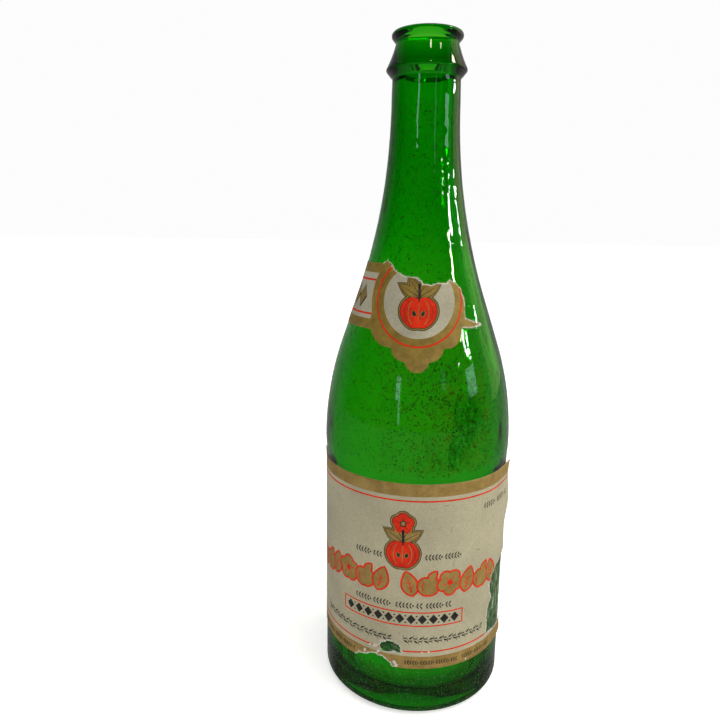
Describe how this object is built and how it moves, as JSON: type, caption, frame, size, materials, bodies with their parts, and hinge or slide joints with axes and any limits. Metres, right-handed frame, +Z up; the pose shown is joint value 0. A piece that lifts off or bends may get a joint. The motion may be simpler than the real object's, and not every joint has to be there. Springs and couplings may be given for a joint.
{
  "type": "glass bottle",
  "caption": "Open tall green glass bottle with a push-up base, long neck, collar ring and rounded lip, with torn printed paper labels on body and shoulder.",
  "frame": {"origin": "centre of the base, on the plane the bottle stands on", "axes": "+Z up along the bottle's axis; -Y is the side that the middle of the body label faces; +X to the right seen from there"},
  "size_m": [0.0838, 0.0838, 0.29],
  "materials": {
    "green_glass": "clear, polished",
    "label_paper": "matt, aged, with gold and red print",
    "dried_glue": "dull film",
    "paper_fibre": "fibrous, stained"
  },
  "bodies": {
    "root": {"glass_bottle": "green_glass", "body_label": "label_paper", "body_label_glue": "dried_glue", "label_residue": "paper_fibre", "neck_label": "label_paper", "neck_label_glue": "dried_glue"}
  },
  "joints": []
}
